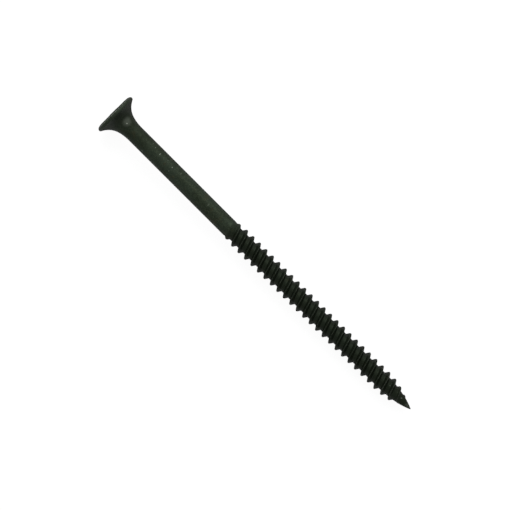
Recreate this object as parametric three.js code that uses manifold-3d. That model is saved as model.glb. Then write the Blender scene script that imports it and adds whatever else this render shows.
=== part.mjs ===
// A countersunk cross-recess screw: 76.2 mm long, 4.2 mm thread, bugle head.
// It is one piece of wire. The head is upset cold, the recess is punched into it,
// and two thread starts are rolled on side by side up to a gimlet point.
//
// Frame, in millimetres: the screw lies along X. The origin is the centre of the
// head's flat face, which looks along +X, and the shank runs towards -X. +Z is up.
import * as THREE from 'three';
import { mergeVertices } from 'three/addons/utils/BufferGeometryUtils.js';
import Module from 'manifold-3d';

// Lengths along the screw are distances behind the head's face.
const LENGTH = 76.2;
const HEAD_RADIUS = 4.24;
const FACE_RADIUS = 3.38; // the flat part of the face
const RIM_DEPTH = 0.6; // where the rim is widest
const RIM_NOSE_RADIUS = 0.385; // the rim's rounding, behind its widest place
const RIM_NOSE_TURN = Math.PI / 4;
const FLARE_START = 0.98;
const FLARE_START_RADIUS = 3.96;
const FLARE_PULL = new THREE.Vector2(2.5, 1.75); // radius, distance
const FLARE_SETTLE = 2.98; // how far up the shank's line the flare's curve is drawn
const FLARE_END = 5.8;
const SHANK_RADIUS = 1.65;

const CORE_RADIUS = 1.405; // the thread's root
const SHOULDER_START = 29.6; // shank steps down to the core
const SHOULDER_END = 31.4;
const POINT_START = 69.0;
const POINT_BEND = new THREE.Vector2(1.3, 73.6); // radius, distance

const PITCH = 1.657; // from crest to crest
const STARTS = 2;
const THREAD_HEIGHT = 0.695;
const CREST_HALF_WIDTH = 0.06;
const FLANK_SLOPE = 0.62; // half-width gained for each millimetre of depth
const THREAD_START = 29.2;
const THREAD_FULL = 32.7;
const THREAD_ENDS = [74.35, 73.85]; // the second start dies out before the first
const RUN_IN_POWER = 1.5; // how fast a ridge grows out of the shank
const FADE_POWER = 2.6; // how late it dies out at the point
const LOWEST_RISE = 0.05; // a ridge lower than this share of the height is left off
const FIRST_CREST = 30.71; // where a crest crosses the -Y side
const WOUND_START = 29.0; // plain outline up to here, wound rows from here
const WOUND_END = 74.7;

const RECESS_REACH = 2.82; // from the axis to a wing's end, on the face
const RECESS_HALF_WIDTH = 0.66; // half a wing's width, on the face
const RECESS_CORNER = 0.55; // rounding between two wings
const RECESS_ENTRY_DEPTH = 0.42;
const RECESS_ENTRY_REACH = 2.38;
const RECESS_ENTRY_HALF_WIDTH = 0.6;
const RECESS_WING_DEPTH = 2.95; // the wings taper down to here
const RECESS_FLOOR_DEPTH = 3.05; // at the wings' ends
const RECESS_FLOOR_REACH = 1.15;
const RECESS_FLOOR_HALF_WIDTH = 0.36;
const RECESS_TIP_DEPTH = 3.45; // at the axis
const PUNCH_PROUD = 0.5; // the punch stands this far out of the face
const PUNCH_PAST = 4; // and is drawn this deep and wide, so that it cuts clear through

const SIDES = 24; // facets round the screw
const FACE_STEPS = 4; // rows over the rim's rounding, its nose, the flare and the tip
const NOSE_STEPS = 2;
const FLARE_STEPS = 9;
const TIP_STEPS = 4;
const CORNER_STEPS = 4; // facets round the corner between two wings
const FLAT_SHADED_METAL = { color: 0x2c3228, roughness: 0.62, metalness: 0.35 };

const wasm = await Module();
wasm.setup();

/** A closed three.js geometry as a solid that can be joined and cut. */
function solid(geometry) {
  const bare = geometry.clone();
  bare.deleteAttribute('normal');
  bare.deleteAttribute('uv');
  const merged = mergeVertices(bare, 1e-5);
  const vertProperties = new Float32Array(merged.attributes.position.array);
  const triVerts = new Uint32Array(merged.index.array);
  return new wasm.Manifold(new wasm.Mesh({ numProp: 3, vertProperties, triVerts }));
}

/** A solid back as a three.js geometry. */
function geometryOf(body) {
  const { vertProperties, triVerts } = body.getMesh();
  const geometry = new THREE.BufferGeometry();
  geometry.setAttribute('position', new THREE.BufferAttribute(vertProperties, 3));
  geometry.setIndex(new THREE.BufferAttribute(triVerts, 1));
  geometry.computeVertexNormals();
  return geometry;
}

const clamp01 = (value) => THREE.MathUtils.clamp(value, 0, 1);

/** The gimlet point, as a curve of (radius, distance) from the core to the tip. */
const pointCurve = new THREE.QuadraticBezierCurve(
  new THREE.Vector2(CORE_RADIUS, POINT_START),
  POINT_BEND,
  new THREE.Vector2(0, LENGTH),
);

/** The core's radius at a distance: shank, shoulder, thread root, point. */
function coreRadius(distance) {
  if (distance > POINT_START) {
    const bend = POINT_BEND.y - POINT_START;
    const curl = LENGTH - POINT_START - 2 * bend;
    const along = Math.min(distance, LENGTH) - POINT_START;
    const t = (-bend + Math.sqrt(bend * bend + curl * along)) / curl;
    return pointCurve.getPoint(clamp01(t)).x;
  }
  const shoulder = THREE.MathUtils.smoothstep(distance, SHOULDER_START, SHOULDER_END);
  return THREE.MathUtils.lerp(SHANK_RADIUS, CORE_RADIUS, shoulder);
}

/** How far a thread start stands out of the core, from 0 at its ends to 1. */
function threadRise(distance, start) {
  const begun = clamp01((distance - THREAD_START) / (THREAD_FULL - THREAD_START));
  const spent = clamp01((distance - POINT_START) / (THREAD_ENDS[start] - POINT_START));
  const rise = (1 - (1 - begun) ** RUN_IN_POWER) * (1 - spent ** FADE_POWER);
  return rise < LOWEST_RISE ? 0 : rise;
}

/** Head, flare and shank: plain rows of the outline, as radius and distance. */
function headRows() {
  const face = new THREE.EllipseCurve(
    FACE_RADIUS, RIM_DEPTH, HEAD_RADIUS - FACE_RADIUS, RIM_DEPTH, -Math.PI / 2, 0,
  );
  const nose = new THREE.EllipseCurve(
    HEAD_RADIUS - RIM_NOSE_RADIUS, RIM_DEPTH, RIM_NOSE_RADIUS, RIM_NOSE_RADIUS,
    0, RIM_NOSE_TURN,
  );
  const flare = new THREE.CubicBezierCurve(
    new THREE.Vector2(FLARE_START_RADIUS, FLARE_START),
    FLARE_PULL,
    new THREE.Vector2(SHANK_RADIUS, FLARE_SETTLE),
    new THREE.Vector2(SHANK_RADIUS, FLARE_END),
  );
  const rows = [
    new THREE.Vector2(0, 0),
    ...face.getPoints(FACE_STEPS),
    ...nose.getPoints(NOSE_STEPS).slice(1),
    ...flare.getPoints(FLARE_STEPS),
  ];
  return rows.map((row) => ({ radius: row.x, distance: row.y }));
}

/** The bare tip beyond the thread. */
function tipRows() {
  const rows = [];
  for (let step = 0; step <= TIP_STEPS; step++) {
    const distance = THREE.MathUtils.lerp(WOUND_END, LENGTH, step / TIP_STEPS);
    rows.push({ radius: coreRadius(distance), distance });
  }
  return rows;
}

/** Four rows for each crest: up one flank, over the crest and down the other. */
function threadRows() {
  const first = Math.floor((WOUND_START - FIRST_CREST) / PITCH) - STARTS - 1;
  const last = Math.ceil((WOUND_END - FIRST_CREST) / PITCH) + 1;
  const rows = [];
  for (let crest = first; crest <= last; crest++) {
    rows.push({ crest, side: -1, outward: 0 });
    rows.push({ crest, side: -1, outward: 1 });
    rows.push({ crest, side: 1, outward: 1 });
    rows.push({ crest, side: 1, outward: 0 });
  }
  return rows;
}

/** Where a row passes a column. A thread row is wound: one turn takes it on by a lead. */
function placeOn(row, column) {
  let { radius, distance } = row;
  if (row.crest !== undefined) {
    const crest = FIRST_CREST + PITCH * (row.crest + STARTS * column / SIDES);
    const height = THREAD_HEIGHT * threadRise(crest, Math.abs(row.crest % STARTS));
    const halfWidth = CREST_HALF_WIDTH + FLANK_SLOPE * height * (1 - row.outward);
    distance = THREE.MathUtils.clamp(crest + row.side * halfWidth, WOUND_START, WOUND_END);
    radius = coreRadius(distance) + height * row.outward;
  }
  // Clockwise from the head means away from the head, so the thread is right-handed.
  const angle = (column % SIDES) / SIDES * 2 * Math.PI - Math.PI / 2;
  return new THREE.Vector3(-distance, radius * Math.sin(angle), radius * Math.cos(angle));
}

/** The whole screw but the recess: a lathe's net of rows, with the thread rows wound. */
function threadedBlank() {
  const rows = [...headRows(), ...threadRows(), ...tipRows()];
  const flat = rows.map((row, i) => new THREE.Vector2(1, i));
  const net = new THREE.LatheGeometry(flat, SIDES);
  const position = net.attributes.position;
  for (let i = 0; i < position.count; i++) {
    const column = Math.floor(i / rows.length);
    const { x, y, z } = placeOn(rows[i % rows.length], column);
    position.setXYZ(i, x, y, z);
  }
  return net;
}

/** The punch that makes the cross recess: four tapering wings over a shallow cone. */
function recessPunch() {
  const [reach, half, corner] = [RECESS_REACH, RECESS_HALF_WIDTH, RECESS_CORNER];
  const quarter = [new THREE.Vector2(reach, -half), new THREE.Vector2(reach, half)];
  for (let step = 0; step <= CORNER_STEPS; step++) {
    const angle = -Math.PI / 2 - (step / CORNER_STEPS) * (Math.PI / 2);
    quarter.push(new THREE.Vector2(
      half + corner + corner * Math.cos(angle),
      half + corner + corner * Math.sin(angle),
    ));
  }
  const outline = [];
  for (let wing = 0; wing < 4; wing++) {
    const turned = quarter.map((point) => {
      return point.clone().rotateAround(new THREE.Vector2(), wing * Math.PI / 2);
    });
    outline.push(...turned);
  }
  const levels = [
    { depth: -PUNCH_PROUD, reach, half },
    { depth: 0, reach, half },
    { depth: RECESS_ENTRY_DEPTH, reach: RECESS_ENTRY_REACH, half: RECESS_ENTRY_HALF_WIDTH },
    { depth: RECESS_WING_DEPTH, reach: RECESS_FLOOR_REACH, half: RECESS_FLOOR_HALF_WIDTH },
    { depth: PUNCH_PAST, reach: RECESS_FLOOR_REACH, half: RECESS_FLOOR_HALF_WIDTH },
  ];
  const steps = levels.length - 1;
  const wings = new THREE.ExtrudeGeometry(
    new THREE.Shape(outline), { depth: steps, steps, bevelEnabled: false },
  );
  const narrow = (value, level) => {
    const size = Math.abs(value);
    const inner = Math.min(size, half) * level.half / half;
    const outer = Math.max(size - half, 0) * (level.reach - level.half) / (reach - half);
    return Math.sign(value) * (inner + outer);
  };
  const position = wings.attributes.position;
  for (let i = 0; i < position.count; i++) {
    const level = levels[Math.round(position.getZ(i))];
    const across = narrow(position.getX(i), level);
    const up = narrow(position.getY(i), level);
    position.setXYZ(i, -level.depth, up, across);
  }
  const floorSlope = (RECESS_TIP_DEPTH - RECESS_FLOOR_DEPTH) / RECESS_FLOOR_REACH;
  const cone = new THREE.LatheGeometry([
    new THREE.Vector2(0, -RECESS_TIP_DEPTH),
    new THREE.Vector2(PUNCH_PAST, PUNCH_PAST * floorSlope - RECESS_TIP_DEPTH),
    new THREE.Vector2(PUNCH_PAST, 2 * PUNCH_PROUD),
    new THREE.Vector2(0, 2 * PUNCH_PROUD),
  ], SIDES).rotateZ(-Math.PI / 2);
  return solid(wings).intersect(solid(cone));
}

const screwBody = solid(threadedBlank()).subtract(recessPunch());

const screw = new THREE.Mesh(
  geometryOf(screwBody),
  new THREE.MeshStandardMaterial(FLAT_SHADED_METAL),
);
screw.name = 'screw';

const group = new THREE.Group();
group.add(screw);

export default group;
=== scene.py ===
# %% [markdown]
# # A black countersunk screw
# A screw looks simple, but it is one continuous skin: the trumpet of the head, a drawn
# shank, two ridges rolled round a core, and a cross punched into the face. This lesson
# builds that skin as a single net of rows and columns, then coats it in black phosphate.
# We start by loading the frame, which already holds the screw at its true size.

# %% Load the frame
import math

import bmesh
import bpy
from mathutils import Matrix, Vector, geometry, noise


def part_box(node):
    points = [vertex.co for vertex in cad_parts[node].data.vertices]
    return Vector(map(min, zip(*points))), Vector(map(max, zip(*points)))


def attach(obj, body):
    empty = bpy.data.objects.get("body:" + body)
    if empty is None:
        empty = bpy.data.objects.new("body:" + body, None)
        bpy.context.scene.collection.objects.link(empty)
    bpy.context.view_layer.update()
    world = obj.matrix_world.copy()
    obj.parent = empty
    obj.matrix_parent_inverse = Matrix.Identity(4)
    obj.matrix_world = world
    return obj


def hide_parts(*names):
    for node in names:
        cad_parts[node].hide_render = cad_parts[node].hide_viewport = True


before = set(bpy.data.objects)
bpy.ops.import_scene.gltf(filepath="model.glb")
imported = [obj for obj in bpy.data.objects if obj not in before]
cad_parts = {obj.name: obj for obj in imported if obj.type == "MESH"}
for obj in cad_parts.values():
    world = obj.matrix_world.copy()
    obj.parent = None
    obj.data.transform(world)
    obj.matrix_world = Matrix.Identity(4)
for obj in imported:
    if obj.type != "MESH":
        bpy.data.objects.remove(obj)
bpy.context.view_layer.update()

# %% [markdown]
# ## Sizes
# The screw lies along X with the face of its head at the origin and its point towards -X.
# Its length and its head's radius come straight from the frame's box. A toolmaker measures
# everything else back from the head's face, so every length below is a distance behind it,
# in millimetres. Blender works in metres, so one helper turns the first into the second.

# %% Read the driving sizes from the frame
MM = 0.001
low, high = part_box("screw")
LENGTH = (high.x - low.x) / MM
HEAD_RADIUS = high.y / MM
SHANK_RADIUS = 1.65
CORE_RADIUS = 1.405
COLUMNS = 96


def place(distance, across, up):
    """A point at a distance behind the head's face, in Blender's metres."""
    return Vector((-distance * MM, -across * MM, up * MM))


print(f"length {LENGTH:.1f} mm, head {2 * HEAD_RADIUS:.1f} mm across")

# %% [markdown]
# ## The blank
# Before it has a thread, a screw is a piece of wire: the thick shank, a step down to the
# thinner core, and a point. One could model that as cylinders and a cone, but then every
# join would need its own rounding. A function that gives the radius at any distance keeps
# the whole run smooth, and the thread can ask it how thick the core is wherever it passes.

# %% The core's radius at any distance
SHOULDER = (29.6, 31.4)
POINT_START = 69.0
POINT_BEND = (73.6, 1.3)
POINT_STEPS = 64
POINT_BLUNT = 0.09

point_curve = geometry.interpolate_bezier(
    Vector((POINT_START, CORE_RADIUS, 0)),
    Vector((POINT_START, CORE_RADIUS, 0)).lerp(Vector((*POINT_BEND, 0)), 2 / 3),
    Vector((LENGTH + POINT_BLUNT, 0, 0)).lerp(Vector((*POINT_BEND, 0)), 2 / 3),
    Vector((LENGTH + POINT_BLUNT, 0, 0)),
    POINT_STEPS,
)


def ramp(value, start, end):
    """0 before start, 1 after end and a straight climb between."""
    return min(max((value - start) / (end - start), 0), 1)


def ease(share):
    """The same climb with soft ends."""
    return share * share * (3 - 2 * share)


def core_radius(distance):
    """Shank, shoulder, thread core and point, in one outline."""
    if distance <= POINT_START:
        return SHANK_RADIUS + (CORE_RADIUS - SHANK_RADIUS) * ease(ramp(distance, *SHOULDER))
    for here, after in zip(point_curve, point_curve[1:]):
        if distance <= after.x:
            return here.y + (after.y - here.y) * ramp(distance, here.x, after.x)
    return 0.0


print("core radius at 20, 31, 50 and 74 mm:",
      [round(core_radius(d), 2) for d in (20, 31, 50, 74)])

# %% [markdown]
# ## The thread's section
# This screw has two thread starts, wound side by side like two wires, so it sinks in twice
# as fast for each turn. Cut across, each ridge is a steep V with a rounded crest and a small
# fillet at its foot. Blender's Screw modifier could wind such a section, but it can't fade
# the ridge out at the shank and at the point. So we keep the section as a few rows, each
# with a place across the ridge and a height, and wind them ourselves.

# %% One ridge as rows: (across, height)
PITCH = 1.657
STARTS = 2
THREAD_HEIGHT = 0.695
CREST_ROUNDING = 0.08
FOOT_ROUNDING = 0.13
FLANK_ANGLE = math.radians(30.5)
CREST_STEPS = 3
FOOT_STEPS = 3


def half_section():
    """From the crest's centre down one flank to the foot."""
    turn = math.pi / 2 - FLANK_ANGLE
    rows = []
    for step in range(CREST_STEPS + 1):
        angle = turn * step / CREST_STEPS
        rows.append((
            CREST_ROUNDING * math.sin(angle),
            THREAD_HEIGHT - CREST_ROUNDING * (1 - math.cos(angle)),
        ))
    flank_top = rows[-1]
    foot_top = FOOT_ROUNDING * (1 - math.cos(turn))
    flank_foot = flank_top[0] + (flank_top[1] - foot_top) * math.tan(FLANK_ANGLE)
    rows.append(((flank_top[0] + flank_foot) / 2, (flank_top[1] + foot_top) / 2))
    for step in range(FOOT_STEPS + 1):
        angle = turn * (1 - step / FOOT_STEPS)
        rows.append((
            flank_foot + FOOT_ROUNDING * (math.sin(turn) - math.sin(angle)),
            FOOT_ROUNDING * (1 - math.cos(angle)),
        ))
    return rows


down_flank = half_section()
up_flank = [(-across, height) for across, height in down_flank[:0:-1]]
valley = [((down_flank[-1][0] + PITCH / 2) / 2, 0.0), (PITCH / 2, 0.0),
          (PITCH - (down_flank[-1][0] + PITCH / 2) / 2, 0.0)]
ridge_rows = up_flank + down_flank + valley
print(f"{len(ridge_rows)} rows a ridge, {2 * down_flank[-1][0]:.2f} mm wide at its foot")

# %% [markdown]
# ## Winding it
# Rolling dies don't start a thread at once: over the first turn or so the ridge grows out
# of the shank, low and blunt. At the point both starts shrink with the core, and one of
# them dies out before the other. Winding a row means moving it on by two pitches for each
# turn, one for each start. Where a wound row would run past the threaded stretch it is held
# at the end of it; those doubled points lie on one circle, so merging them later gives a
# clean edge.
#
# A crest is also where the coat rubs off first, so each row notes how exposed it is. The
# line of the crest gets the most, partly as a painted highlight along it. The flank towards
# the head gets a little, as painted light on the side that faces the soft box, and the flank
# towards the point hardly any. The last few turns are worn more than the rest.

# %% Place a wound row at a column
THREAD_START = 29.2
THREAD_FULL = 32.7
THREAD_ENDS = (74.35, 73.85)
FADE_POWER = 2.6
WOUND = (29.0, 74.7)
FIRST_CREST = 30.71
RUN_IN_POWER = 1.5
SPENT_NARROWING = 0.5
# Crest wear, together with a painted highlight along the crest line.
CREST_WEAR_AND_SHEEN = 0.3
POINT_WEAR = 0.4
POINT_WORN = (66.0, 72.0)
CREST_LINE = 0.06
CREST_TOP = 0.88 * THREAD_HEIGHT
# The flank towards the head is painted paler than the flank towards the point: painted light.
HEAD_FLANK_SHEEN = 0.3
POINT_FLANK_SHEEN = 0.05


def thread_rise(distance, start):
    """How much of its full height a thread start has reached."""
    begun = 1 - (1 - ramp(distance, THREAD_START, THREAD_FULL)) ** RUN_IN_POWER
    return begun * (1 - ramp(distance, POINT_START, THREAD_ENDS[start]) ** FADE_POWER)


def exposure(across, height):
    """How much of the crest's wear and painted highlight a row of the ridge gets."""
    top = ease(ramp(height, CREST_TOP, THREAD_HEIGHT))
    if across < 0:
        return HEAD_FLANK_SHEEN * top
    return POINT_FLANK_SHEEN * top if across > CREST_LINE else top


def wound_row(crest_number, across, height):
    """A row of the net: for a column, its distance, its radius and how exposed it is."""
    def at(column):
        crest = FIRST_CREST + PITCH * (crest_number + STARTS * column / COLUMNS)
        rise = thread_rise(crest, crest_number % STARTS)
        spent = ramp(crest, POINT_START, THREAD_ENDS[crest_number % STARTS]) ** FADE_POWER
        shift = across * (1 - SPENT_NARROWING * spent) if height > 0 else across
        distance = min(max(crest + shift, WOUND[0]), WOUND[1])
        wear_and_sheen = CREST_WEAR_AND_SHEEN + POINT_WEAR * ramp(crest, *POINT_WORN)
        rubbed_and_sheen = wear_and_sheen * rise * exposure(across, height)
        return distance, core_radius(distance) + rise * height, rubbed_and_sheen
    return at


first_crest = math.floor((WOUND[0] - FIRST_CREST) / PITCH) - STARTS - 1
last_crest = math.ceil((WOUND[1] - FIRST_CREST) / PITCH) + 1
thread_rows = [
    wound_row(crest_number, across, height)
    for crest_number in range(first_crest, last_crest + 1)
    for across, height in ridge_rows
]
print(f"{len(thread_rows)} wound rows for {last_crest - first_crest + 1} crests")

# %% [markdown]
# ## The head's outline
# The head is a trumpet: a long concave flare that pulls itself into soft board without
# tearing it, ending in a thin rounded rim. A straight cone would be the quick way and would
# read as a different screw. The flare is one Bezier curve that leaves the shank in line with
# it. The rim is a quarter ellipse from the edge of the face to its widest place, and a short
# round nose behind that. One narrow line of the rim is painted pale: partly wear, where heads
# knock together in the box, and partly a painted highlight, where the rounded rim catches the
# light. It peaks on one row and its neighbours get little. The rows there are set close,
# because the pale colour fades evenly from one row to the next.

# %% Rows for the flare, the rim and the shank
FACE_EDGE = (0.04, 3.38)
RIM_WIDEST = 0.6
RIM_STEPS = 10
RIM_LINE = 0.6
RIM_LINE_WIDTH = 0.15
RIM_SHEEN_AND_WEAR = 1.6
RIM_EDGE_WEAR = 0.1
NOSE_RADIUS = 0.385
NOSE_TURN = math.radians(60)
NOSE_STEPS = 4
NOSE_WEAR = 0.05
FLARE_TOP = (0.98, 3.96)
FLARE_PULL = (1.75, 2.5)
FLARE_SETTLE = 2.98
FLARE_END = 5.8
FLARE_POINTS = 24
SHANK_STEPS = 40
TIP_STEPS = 12
TIP_ROUNDING = 0.12
TIP_WEAR = 0.3


def turned_row(distance, radius, rubbed_and_sheen=0.0):
    """A plain row, the same at every column."""
    return lambda column: (distance, radius, rubbed_and_sheen)


def quarter_ellipse(start, end, corner, steps):
    """Points from start to end round a corner, where both sides are tangent to it."""
    for step in range(1, steps + 1):
        angle = math.pi / 2 * step / steps
        yield tuple(
            c + (s - c) * (1 - math.sin(angle)) + (e - c) * (1 - math.cos(angle))
            for s, e, c in zip(start, end, corner)
        )


flare = geometry.interpolate_bezier(
    Vector((*FLARE_TOP, 0)),
    Vector((*FLARE_PULL, 0)),
    Vector((FLARE_SETTLE, SHANK_RADIUS, 0)),
    Vector((FLARE_END, SHANK_RADIUS, 0)),
    FLARE_POINTS,
)
widest = (RIM_WIDEST, HEAD_RADIUS)
rounding = quarter_ellipse(FACE_EDGE, widest, (FACE_EDGE[0], HEAD_RADIUS), RIM_STEPS)
head_rows = [turned_row(*FACE_EDGE)]
# The pale line round the rim is wear and a painted highlight.
for step, point in enumerate(rounding, 1):
    off_line = ramp(abs(step / RIM_STEPS - RIM_LINE), 0.0, RIM_LINE_WIDTH)
    wear_and_sheen = RIM_SHEEN_AND_WEAR + (RIM_EDGE_WEAR - RIM_SHEEN_AND_WEAR) * off_line
    head_rows.append(turned_row(*point, rubbed_and_sheen=wear_and_sheen))
for step in range(1, NOSE_STEPS + 1):
    angle = NOSE_TURN * step / NOSE_STEPS
    head_rows.append(turned_row(
        RIM_WIDEST + NOSE_RADIUS * math.sin(angle),
        HEAD_RADIUS - NOSE_RADIUS * (1 - math.cos(angle)),
        rubbed_and_sheen=NOSE_WEAR,
    ))
head_rows += [turned_row(point.x, point.y) for point in flare]
shank_rows = [
    turned_row(FLARE_END + (WOUND[0] - FLARE_END) * step / SHANK_STEPS, SHANK_RADIUS)
    for step in range(1, SHANK_STEPS)
]
tip_rows = []
for step in range(TIP_STEPS + 1):
    distance = LENGTH - (LENGTH - WOUND[1]) * (1 - step / TIP_STEPS) ** 2
    rounding = ramp(distance, LENGTH - TIP_ROUNDING, LENGTH)
    tip_rows.append(turned_row(
        distance, core_radius(distance) * math.sqrt(1 - rounding ** 2), TIP_WEAR,
    ))
print(f"{len(head_rows)} rows in the head, {len(shank_rows)} down the shank")

# %% [markdown]
# ## The cross recess
# The recess is the print of a punch with four tapering wings. A Boolean would cut it in one
# step, but it leaves long slivers that shade badly and edges with no rounding. Instead the
# net goes on over the edge and down: each row becomes a cross-shaped loop with the same
# number of columns, smaller the deeper it lies. The ends of the wings aren't quite straight:
# `bow` is how far the middle of an end stands out past its corners, or in from them.

# %% A cross-shaped loop
END_COLUMNS, FLANK_COLUMNS, CORNER_COLUMNS = 4, 3, 10


def cross_quarter(reach, half, corner, bow):
    """A quarter of the cross, from the middle of one wing's end to the next's."""
    side = [
        (reach - bow * (1 - (step / END_COLUMNS) ** 2), half * step / END_COLUMNS)
        for step in range(END_COLUMNS)
    ]
    side += [
        (reach + (half + corner - reach) * step / FLANK_COLUMNS, half)
        for step in range(FLANK_COLUMNS)
    ]
    arc = []
    for step in range(CORNER_COLUMNS + 1):
        angle = math.pi / 2 * step / CORNER_COLUMNS
        arc.append((
            half + corner * (1 - math.sin(angle)),
            half + corner * (1 - math.cos(angle)),
        ))
    return side + arc + [(up, across) for across, up in side[:0:-1]]


def cross_loop(reach, half, corner, bow):
    """All four quarters, turned into place."""
    loop = cross_quarter(reach, half, corner, bow)
    turned = loop
    for _ in range(3):
        turned = [(-up, across) for across, up in turned]
        loop = loop + turned
    return loop


columns_in_loop = 4 * (2 * (END_COLUMNS + FLANK_COLUMNS) + CORNER_COLUMNS)
print(f"{columns_in_loop} columns in a loop; the net has {COLUMNS}")

# %% [markdown]
# A punched lip is drawn in slightly and is where bare metal shows first, so the first loops
# roll over it. Their pale colour is partly that wear and partly a painted highlight, where the
# rounded lip catches the light. The wings draw in fast just below the lip, then narrow evenly
# all the way down, and the floor is a shallow cone. A small pit at its centre is the mark of
# the punch's tip.

# %% Loops from the face to the floor
MOUTH = {"depth": 0.09, "reach": 2.80, "half": 0.65, "corner": 0.55, "bow": 0.07}
ENTRY = {"depth": 0.42, "reach": 2.36, "half": 0.60, "corner": 0.52, "bow": -0.08}
FOOT = {"depth": 2.95, "reach": 1.04, "half": 0.36, "corner": 0.30, "bow": -0.12}
LIP = 0.09
LIP_STEPS = 4
FLOOR_EDGE = {"depth": 3.05, "out": 1.15}
TIP_DEPTH = 3.45
FLOOR_SLOPE = (TIP_DEPTH - FLOOR_EDGE["depth"]) / FLOOR_EDGE["out"]
PIT_DEPTH = 0.1
PIT_RADIUS = 0.18
FACE_LOOPS = 7
ENTRY_LOOPS = 3
WALL_LOOPS = 6
FLOOR_LOOPS = 6


def floor_depth(across, up):
    """The cone at the bottom, with the pit at its centre."""
    out = math.hypot(across, up)
    pit = PIT_DEPTH * (1 - ease(ramp(out, 0.0, PIT_RADIUS)))
    return TIP_DEPTH - FLOOR_SLOPE * out + pit


def loop_at(depth, rubbed_and_sheen=0.0, **outline):
    """A loop of the recess as finished points for each column."""
    return [(depth, across, up, rubbed_and_sheen) for across, up in cross_loop(**outline)]


recess = []
# The lip's loops are painted pale, most at the middle of the rounding: wear and a painted highlight.
for step in range(LIP_STEPS + 1):
    angle = math.pi / 2 * step / LIP_STEPS
    back = LIP * (1 - math.sin(angle))
    recess.append(loop_at(
        LIP * (1 - math.cos(angle)), rubbed_and_sheen=math.sin(2 * angle),
        reach=MOUTH["reach"] + back, half=MOUTH["half"] + back,
        corner=MOUTH["corner"] - back / 2, bow=MOUTH["bow"],
    ))
for upper, lower, count in ((MOUTH, ENTRY, ENTRY_LOOPS), (ENTRY, FOOT, WALL_LOOPS)):
    for step in range(1, count + 1):
        share = step / count
        recess.append(loop_at(**{
            key: upper[key] + (lower[key] - upper[key]) * share for key in upper
        }))
foot_loop = [(across, up) for _, across, up, _ in recess[-1]]
recess.append([(floor_depth(*point), *point, 0.0) for point in foot_loop])
for step in range(1, FLOOR_LOOPS + 1):
    keep = 1 - step / FLOOR_LOOPS
    shrunk = [(across * keep, up * keep) for across, up in foot_loop]
    recess.append([(floor_depth(*point), *point, 0.0) for point in shrunk])
print(f"{len(recess)} loops from the lip to the floor, {TIP_DEPTH:.2f} mm deep")

# %% [markdown]
# ## One net
# Now every row becomes points, from the pit of the recess out over the face, down the
# shank and along the thread to the tip. Real forging isn't perfect, so each point is nudged
# by a smooth noise of a few hundredths of a millimetre: most on the rim, where the metal
# squeezes out unevenly, and on the crests, and not at all on the drawn shank. The rim only
# wanders inward, so that the head never outgrows its die.

# %% Turn the rows into points
RIM_WANDER = 0.035
RIM_WAVES = 0.7
RIM_INWARD = 0.6
RIM_FROM = 3.2
CREST_WANDER = 0.02
CREST_WAVES = 1.3
CREST_FROM = (1.75, 2.1)


def circle(distance, radius, rubbed_and_sheen, column):
    """A turned point, with its unevenness."""
    angle = 2 * math.pi * (column % COLUMNS) / COLUMNS
    across, up = radius * math.cos(angle), radius * math.sin(angle)
    on_rim = ramp(radius, RIM_FROM, HEAD_RADIUS)
    waves = noise.noise((across * RIM_WAVES, up * RIM_WAVES, 3.0))
    wander = RIM_WANDER * on_rim * (waves - RIM_INWARD)
    on_crest = ramp(radius, *CREST_FROM) * (distance > WOUND[0])
    wander += CREST_WANDER * on_crest * noise.noise((distance * CREST_WAVES, across, up))
    grown = 1 + wander / max(radius, 0.1)
    return distance, across * grown, up * grown, rubbed_and_sheen


def spread(row):
    """A row function as a list of points, with the seam column at both ends."""
    return [circle(*row(column), column) for column in range(COLUMNS + 1)]


face_rows = []
outer = spread(head_rows[0])[:-1]
for step in range(1, FACE_LOOPS):
    share = step / FACE_LOOPS
    face_rows.append([
        tuple(a + (b - a) * share for a, b in zip(edge, lip_point))
        for edge, lip_point in zip(outer, recess[0])
    ])
inner_rows = [row + row[:1] for row in reversed(face_rows + recess)]
net = inner_rows + [spread(row) for row in head_rows + shank_rows + thread_rows + tip_rows]
print(f"{len(net)} rows by {COLUMNS} columns")

# %% [markdown]
# The net becomes a mesh with bmesh. Merging joins the seam, the doubled points at the
# thread's two ends, and the single points at the pit and the tip. Faces that have closed up
# to nothing are dissolved. What is left is one closed skin with no loose faces. Two values
# go with each point for the coat to read: how far it is rubbed and painted pale as a
# highlight, and whether it is inside the punched recess.

# %% Build the mesh
MERGE = 0.0004 * MM
SHARP_FROM = math.radians(38)


def skin_from(rows, punched_rows, name):
    """A closed mesh from rows of (distance, across, up, rubbed)."""
    build = bmesh.new()
    rubbed_and_sheen_layer = build.verts.layers.float.new("rubbed_and_sheen")
    punched_layer = build.verts.layers.float.new("punched")
    grid = []
    for number, row in enumerate(rows):
        line = []
        for distance, across, up, rubbed_and_sheen in row:
            vertex = build.verts.new(place(distance, across, up))
            vertex[rubbed_and_sheen_layer] = rubbed_and_sheen
            vertex[punched_layer] = number < punched_rows
            line.append(vertex)
        grid.append(line)
    for upper, lower in zip(grid, grid[1:]):
        for column in range(COLUMNS):
            build.faces.new((
                upper[column], upper[column + 1], lower[column + 1], lower[column],
            ))
    bmesh.ops.remove_doubles(build, verts=build.verts, dist=MERGE)
    bmesh.ops.dissolve_degenerate(build, edges=build.edges, dist=MERGE)
    bmesh.ops.recalc_face_normals(build, faces=build.faces)
    mesh = bpy.data.meshes.new(name)
    build.to_mesh(mesh)
    build.free()
    return mesh


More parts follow.
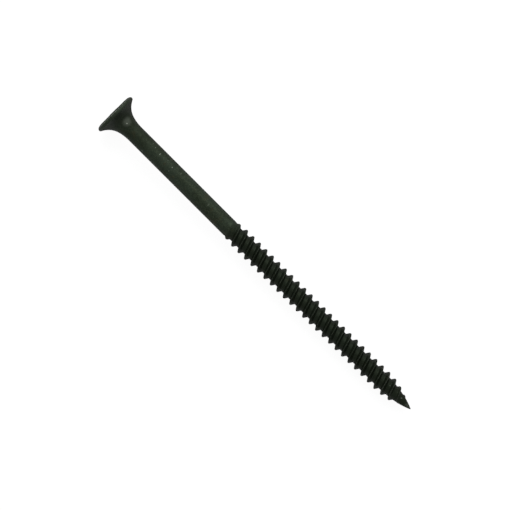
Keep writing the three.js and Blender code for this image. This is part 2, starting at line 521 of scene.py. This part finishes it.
screw_mesh = skin_from(net, len(recess) - LIP_STEPS, "phosphated_screw")
screw = bpy.data.objects.new("phosphated_screw", screw_mesh)
bpy.context.scene.collection.objects.link(screw)
screw_mesh.shade_smooth()
screw_mesh.set_sharp_from_angle(angle=SHARP_FROM)
loose = sum(1 for edge in screw_mesh.edges if edge.is_loose)
print(f"{len(screw_mesh.polygons)} faces, {loose} loose edges")

# %% [markdown]
# ## Black phosphate
# The finish is not paint. The steel is dipped in hot phosphate, which grows a skin of tiny
# dark crystals on it, and is then oiled. It is nearly black with an olive cast, dull, and
# mottled where the crystals grew thicker. A flat dark colour would look like plastic.

# %% Helpers for the shader's nodes
coat = bpy.data.materials.new("black_phosphate")
coat.use_nodes = True
tree = coat.node_tree
shader = tree.nodes["Principled BSDF"]


def wire(socket, value):
    """Links a socket to another, or sets its value."""
    if isinstance(value, bpy.types.NodeSocket):
        tree.links.new(value, socket)
    else:
        socket.default_value = value


def add(kind, settings=None, **inputs):
    """A node with its settings and inputs. An input is a value or another node's socket."""
    node = tree.nodes.new("ShaderNode" + kind)
    for key, value in (settings or {}).items():
        setattr(node, key, value)
    for key, value in inputs.items():
        wire(node.inputs[key.replace("_", " ")], value)
    return node


def between(factor, dark, light):
    """Blends two colours, or two colour sockets, by a factor."""
    node = add("Mix", {"data_type": "RGBA"})
    wire(node.inputs[0], factor)
    wire(node.inputs[6], dark)
    wire(node.inputs[7], light)
    return node.outputs[2]


def calculate(operation, first, second):
    """A Math node: one operation on two values or sockets."""
    node = add("Math", {"operation": operation})
    wire(node.inputs[0], first)
    wire(node.inputs[1], second)
    return node.outputs[0]


def window(value, start, end):
    """Stretches part of a 0 to 1 pattern to the whole of it, clipped."""
    node = add("MapRange", {"interpolation_type": "SMOOTHSTEP"})
    wire(node.inputs[0], value)
    wire(node.inputs[1], start)
    wire(node.inputs[2], end)
    return node.outputs[0]


def graded(value, low_end, high_end):
    """Turns 0 to 1 into a climb from low_end to high_end."""
    node = add("MapRange")
    wire(node.inputs[0], value)
    wire(node.inputs[3], low_end)
    wire(node.inputs[4], high_end)
    return node.outputs[0]


in_metres = add("TexCoord").outputs["Object"]
in_mm = add("Mapping", Vector=in_metres, Scale=(1 / MM, 1 / MM, 1 / MM)).outputs[0]


def cloud(size, detail=3.0, roughness=0.5, stretch=(1, 1, 1), shift=0.0):
    """Soft noise whose patches are about size millimetres."""
    scaled = add("Mapping", Vector=in_mm, Scale=stretch, Location=(shift, shift, shift))
    node = add("TexNoise", Vector=scaled.outputs[0], Scale=1 / size,
               Detail=detail, Roughness=roughness)
    return node.outputs[0]


print("coat:", coat.name)

# %% [markdown]
# The colour is built in layers, from the crystals' own two tones outward. Mottling of about
# half a millimetre comes first. Over it go wide cool patches where the bath ran, the crystal
# grain, a brown bloom, faint lines where the wire was drawn through its die, and pale specks
# where a crystal stands proud. Each layer is a colour laid on through a noise mask.

# %% Layers of the coating
DEEP = (0.0019, 0.0028, 0.0015, 1)
MID = (0.0054, 0.0075, 0.0042, 1)
PALE = (0.0150, 0.0195, 0.0120, 1)
COOL = (0.0125, 0.0190, 0.0150, 1)
BROWN = (0.0105, 0.0085, 0.0035, 1)
MOTTLE_SIZE = 0.42
GRAIN_SIZE = 0.07
WIDE_SIZE = 2.6
BLOOM_SIZE = 1.3
DRAWN_SIZE = 0.22
SPECK_SIZE = 0.2


def lay_on(base, colour, mask, amount):
    """Lays a colour over the base through a mask, no more thickly than amount."""
    return between(calculate("MULTIPLY", mask, amount), base, colour)


wide = cloud(WIDE_SIZE, detail=3.0, stretch=(0.5, 1, 1), shift=2.0)
mottle = cloud(MOTTLE_SIZE, detail=4.0, roughness=0.6)
grain = cloud(GRAIN_SIZE, detail=2.0, shift=7.0)
drawn = cloud(DRAWN_SIZE, detail=3.0, stretch=(0.05, 1, 1), shift=3.0)
bloom = cloud(BLOOM_SIZE, detail=3.0, shift=11.0)
specks = cloud(SPECK_SIZE, detail=1.0, shift=5.0)

base = between(window(mottle, 0.36, 0.64), DEEP, MID)
base = lay_on(base, COOL, window(wide, 0.36, 0.64), 0.24)
base = lay_on(base, PALE, window(grain, 0.52, 0.72), 0.5)
base = lay_on(base, BROWN, window(bloom, 0.55, 0.75), 0.6)
base = lay_on(base, PALE, window(drawn, 0.55, 0.8), 0.25)
base = lay_on(base, PALE, window(specks, 0.56, 0.74), 0.8)
print(f"patches: {MOTTLE_SIZE} mm mottle, {GRAIN_SIZE} mm grain")

# %% [markdown]
# After the bath comes oil. Painted shade darkens the colour over the whole threaded stretch,
# where the ridges shade each other, in the hollow under the rim, and in the recess, where its
# walls shade it. The head is a shade deeper than the shank, and the edge of its face is a
# browner black.

# %% Painted shade along the screw
PAINTED_SHADE = (0.0003, 0.0006, 0.0001, 1)
FACE_TONE = (0.0030, 0.0030, 0.0018, 1)
NECK = (-12.0, -6.0)
UNDER_RIM = (-0.8, -1.3)
OUT_OF_FLARE = (-3.0, -1.9)
NEAR_FACE = (-0.30, -0.03)

along = add("SeparateXYZ", Vector=in_mm).outputs["X"]
# Painted shade over the threaded stretch, where the ridges shade each other.
thread_shade = window(along, -SHOULDER[0], -SHOULDER[1])
base = lay_on(base, PAINTED_SHADE, thread_shade, 0.75)
base = lay_on(base, DEEP, window(along, *NECK), 0.4)
# Painted shade in the hollow under the rim.
under_head_shade = calculate("MULTIPLY", window(along, *UNDER_RIM), window(along, *OUT_OF_FLARE))
base = lay_on(base, PAINTED_SHADE, under_head_shade, 0.5)
base = lay_on(base, FACE_TONE, window(along, *NEAR_FACE), 0.55)
punched = add("Attribute", {"attribute_name": "punched"}).outputs["Fac"]
# Painted shade in the recess, where its walls shade it.
base = lay_on(base, PAINTED_SHADE, punched, 0.7)
print("oil between the ridges from", SHOULDER[0], "mm on")

# %% [markdown]
# Where screws rub together in the box the crystals polish away: on the crests, round the rim
# and along the lip of the recess. The same pale colour is also a painted highlight along the
# crest lines, on a thin line round the rim and on the rounded lip, and painted light on the
# flank towards the head. The Geometry node's pointiness could find edges by itself, but it
# would mark them all alike. The mesh already carries which edges are exposed and painted pale,
# as the attribute `rubbed_and_sheen`, and noise breaks it up so that it isn't an even line.

# %% Wear and painted highlights on the edges
MOST_WORN_AND_SHEEN = 0.4
BREAK_SIZE = 0.35

# The pale colour of wear, together with the painted highlights on crests, rim and lip.
rubbed_and_sheen = add("Attribute", {"attribute_name": "rubbed_and_sheen"}).outputs["Fac"]
patchy = cloud(BREAK_SIZE, detail=3.0, shift=19.0)
wear_and_sheen = calculate("MULTIPLY", rubbed_and_sheen, window(patchy, 0.35, 0.68))
worn_and_sheen = calculate("MULTIPLY", wear_and_sheen, MOST_WORN_AND_SHEEN)
print(f"the line of wear breaks up about every {BREAK_SIZE} mm")

# %% [markdown]
# A few bright nicks are where another screw's point struck this one. Each is a soft spot at a
# known place: the distance from that place, pulled out of round by noise, decides how much of
# the pale colour shows. Noise alone can't put a nick where it is wanted, so this is a given
# list: a real screw has its own few marks. The first two are not nicks but painted highlights
# on the flare, where it turns into the shank: a wide faint painted sheen and a small bright
# painted glint.

# %% Nicks and two painted highlights
# Bare metal for the nicks and the wear, and also the colour of the painted highlights.
BARE_AND_GLINT = (0.110, 0.121, 0.102, 1)
WOBBLE = 0.16
SPOT_EDGE = (1.1, 0.4)
NICKS_AND_GLINTS = [
    # behind the face, towards -Y, half length, half width, how pale
    # the first two rows are painted highlights on the flare: a wide sheen and a small glint
    (2.8, 0.42, 1.25, 1.10, 0.18),
    (3.28, 0.27, 0.18, 0.16, 1.00),
    (8.7, -1.27, 0.30, 0.08, 0.25),
    (9.2, 1.09, 0.08, 0.08, 0.30),
    (10.0, 0.82, 0.12, 0.10, 0.50),
    (11.45, 0.58, 0.07, 0.26, 0.75),
    (12.4, 0.54, 0.08, 0.08, 0.25),
    (13.25, 0.82, 0.08, 0.10, 0.35),
    (13.6, 1.27, 0.10, 0.06, 0.30),
    (14.7, 0.45, 0.11, 0.11, 1.00),
    (14.7, -0.45, 0.10, 0.08, 0.30),
    (16.6, 0.75, 0.08, 0.22, 0.25),
    (24.1, 0.27, 0.16, 0.30, 0.12),
    (70.5, 0.39, 0.16, 0.12, 0.15),
    (73.6, 0.26, 0.22, 0.16, 0.22),
    (75.4, 0.07, 0.15, 0.08, 0.20),
]
wobble = add("TexNoise", Vector=in_mm, Scale=5.0, Detail=2.0)
wobbled = add("VectorMath", {"operation": "MULTIPLY_ADD"})
wire(wobbled.inputs[0], wobble.outputs["Color"])
wire(wobbled.inputs[1], (WOBBLE, WOBBLE, WOBBLE))
wire(wobbled.inputs[2], in_mm)

for behind, toward, half_long, half_wide, paleness in NICKS_AND_GLINTS:
    up = math.sqrt(max(core_radius(behind) ** 2 - toward ** 2, 0))
    offset = add("VectorMath", {"operation": "SUBTRACT"})
    wire(offset.inputs[0], wobbled.outputs[0])
    wire(offset.inputs[1], (-behind + WOBBLE / 2, -toward + WOBBLE / 2, up + WOBBLE / 2))
    scaled = add("VectorMath", {"operation": "DIVIDE"})
    wire(scaled.inputs[0], offset.outputs[0])
    wire(scaled.inputs[1], (half_long, half_wide, 1.0))
    far = add("VectorMath", {"operation": "LENGTH"})
    wire(far.inputs[0], scaled.outputs[0])
    spot = calculate("MULTIPLY", window(far.outputs["Value"], *SPOT_EDGE), paleness)
    worn_and_sheen = calculate("MAXIMUM", worn_and_sheen, spot)
wire(shader.inputs["Base Color"], between(worn_and_sheen, base, BARE_AND_GLINT))
print(len(NICKS_AND_GLINTS), "nicks")

# %% [markdown]
# The gloss matters as much as the colour. The coat is dull and reflects weakly, so the
# specular level is far below Blender's 0.5. A smooth dark surface turns bright where it is
# seen edge on; this one doesn't, because its crystals stand up and hide each other, so the
# level falls to nothing at a grazing look. The punch pressed the crystals flat inside the
# recess, which is smoother and shinier.

# %% Gloss and relief
DULL, SILKY = 0.70, 0.44
BURNISHED = 0.36
COAT_LEVEL = 0.082
PUNCHED_LEVEL = 0.25
GLANCING = (0.42, 0.88)
COAT_TINT = (0.80, 1.0, 0.70, 1)
RELIEF_STRENGTH = 0.5
RELIEF_DEPTH = 0.02 * MM

crystals = calculate("ADD", mottle, calculate("MULTIPLY", grain, 0.5))
roughness = graded(crystals, DULL, SILKY)
wire(shader.inputs["Roughness"], graded(punched, roughness, BURNISHED))

glancing = window(add("LayerWeight", Blend=0.5).outputs["Facing"], *GLANCING)
level = calculate("MULTIPLY", calculate("SUBTRACT", 1.0, glancing), COAT_LEVEL)
level = calculate("ADD", level, calculate("MULTIPLY", punched, PUNCHED_LEVEL))
wire(shader.inputs["Specular IOR Level"], level)
shader.inputs["Specular Tint"].default_value = COAT_TINT
shader.inputs["Metallic"].default_value = 0.0

relief = calculate("ADD", grain, calculate("MULTIPLY", drawn, 0.6))
bump = add("Bump", Height=relief, Strength=RELIEF_STRENGTH, Distance=RELIEF_DEPTH)
wire(shader.inputs["Normal"], bump.outputs[0])
screw_mesh.materials.append(coat)
print(f"specular level {COAT_LEVEL} outside and {COAT_LEVEL + PUNCHED_LEVEL:.2f} in the recess")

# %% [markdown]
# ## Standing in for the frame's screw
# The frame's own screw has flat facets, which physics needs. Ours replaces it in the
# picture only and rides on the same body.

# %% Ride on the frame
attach(screw, "root")
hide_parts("screw")

# %% [markdown]
# ## The table
# Small black parts are best shown on white acrylic that is lit from below, so that they
# cast almost no shadow. The sheet's own colour is nearly black and its glow makes it white:
# a pale sheet would darken wherever the screw shades it.
#
# A screw rests on the rim of its head and on a crest near its point, so the sheet is tipped
# by that small angle under it rather than the screw over it.

# %% A lit white sheet
FLOOR_HALF = 2.5
SHEET_COLOUR = (0.05, 0.05, 0.05, 1)
SHEET_GLOW = 0.92

head_rest = Vector((-RIM_WIDEST * MM, 0, low.z))
crest_rest = Vector((-POINT_START * MM, 0, -(CORE_RADIUS + THREAD_HEIGHT) * MM))
tip_angle = math.atan2(crest_rest.z - head_rest.z, head_rest.x - crest_rest.x)

floor_mesh = bpy.data.meshes.new("floor")
corners = [(-1, -1), (1, -1), (1, 1), (-1, 1)]
floor_mesh.from_pydata([(x * FLOOR_HALF, y * FLOOR_HALF, 0) for x, y in corners], [], [(0, 1, 2, 3)])
floor = bpy.data.objects.new("floor", floor_mesh)
bpy.context.scene.collection.objects.link(floor)
floor.location = head_rest
floor.rotation_euler = (0, tip_angle, 0)

acrylic = bpy.data.materials.new("lit_acrylic")
acrylic.use_nodes = True
sheet = acrylic.node_tree.nodes["Principled BSDF"]
sheet.inputs["Base Color"].default_value = SHEET_COLOUR
sheet.inputs["Roughness"].default_value = 0.9
sheet.inputs["Specular IOR Level"].default_value = 0.1
sheet.inputs["Emission Color"].default_value = (1, 1, 1, 1)
sheet.inputs["Emission Strength"].default_value = SHEET_GLOW
floor_mesh.materials.append(acrylic)
print(f"the sheet tips by {math.degrees(tip_angle):.2f} degrees")

# %% [markdown]
# ## Light
# One large soft box stands towards the head and off to one side, about as far out as it is
# high, so one side of the shank and of every ridge catches it and the other side falls away.
# The white room fills the rest. A bare lamp would draw one hard line down the shank; the box
# is wide for such a small part, so its light wraps round it.

# %% A soft box and a white room
ROOM_LIGHT = 1.4
SOFTBOX_SIZE = 0.5
SOFTBOX_POWER = 6.3
SOFTBOX_AWAY = 0.6
SOFTBOX_SIDE = Vector((0.42, -0.62, 0.66)).normalized()

world = bpy.data.worlds.new("white_room")
world.use_nodes = True
world.node_tree.nodes["Background"].inputs["Color"].default_value = (1, 1, 1, 1)
world.node_tree.nodes["Background"].inputs["Strength"].default_value = ROOM_LIGHT
bpy.context.scene.world = world

middle = Vector(((low.x + high.x) / 2, 0, 0))
softbox = bpy.data.lights.new("softbox", "AREA")
softbox.shape = "SQUARE"
softbox.size = SOFTBOX_SIZE
softbox.energy = SOFTBOX_POWER
key = bpy.data.objects.new("softbox", softbox)
bpy.context.scene.collection.objects.link(key)
key.location = middle + SOFTBOX_SIDE * SOFTBOX_AWAY
key.rotation_euler = (middle - key.location).to_track_quat("-Z", "Y").to_euler()
bpy.context.scene.view_settings.view_transform = "Standard"
print("soft box at", tuple(round(v, 2) for v in key.location))

# %% [markdown]
# ## Camera
# The camera looks straight down on the screw and is rolled so that the head is at the upper
# left. A long lens from about two metres up keeps both ends the same size, where a short one
# close by would swell the middle and lean the two ends away.

# %% A long lens from above
LENS = 800.0
SENSOR = 36.0
VIEW_WIDTH = 92.42 * MM
OFF_CENTRE = Vector((1.25, -1.01)) * MM
camera = bpy.data.objects.new("camera", bpy.data.cameras.new("camera"))
camera.data.lens = LENS
camera.data.sensor_width = SENSOR
camera.data.clip_start = 0.01
bpy.context.scene.collection.objects.link(camera)
right = Vector((-1, -1, 0)).normalized()
above = Vector((1, -1, 0)).normalized()
aim = middle - right * OFF_CENTRE.x - above * OFF_CENTRE.y
camera.location = aim + Vector((0, 0, VIEW_WIDTH * LENS / SENSOR))
camera.rotation_euler = (0, 0, math.atan2(right.y, right.x))
bpy.context.scene.camera = camera
print(f"camera {camera.location.z:.3f} m up")
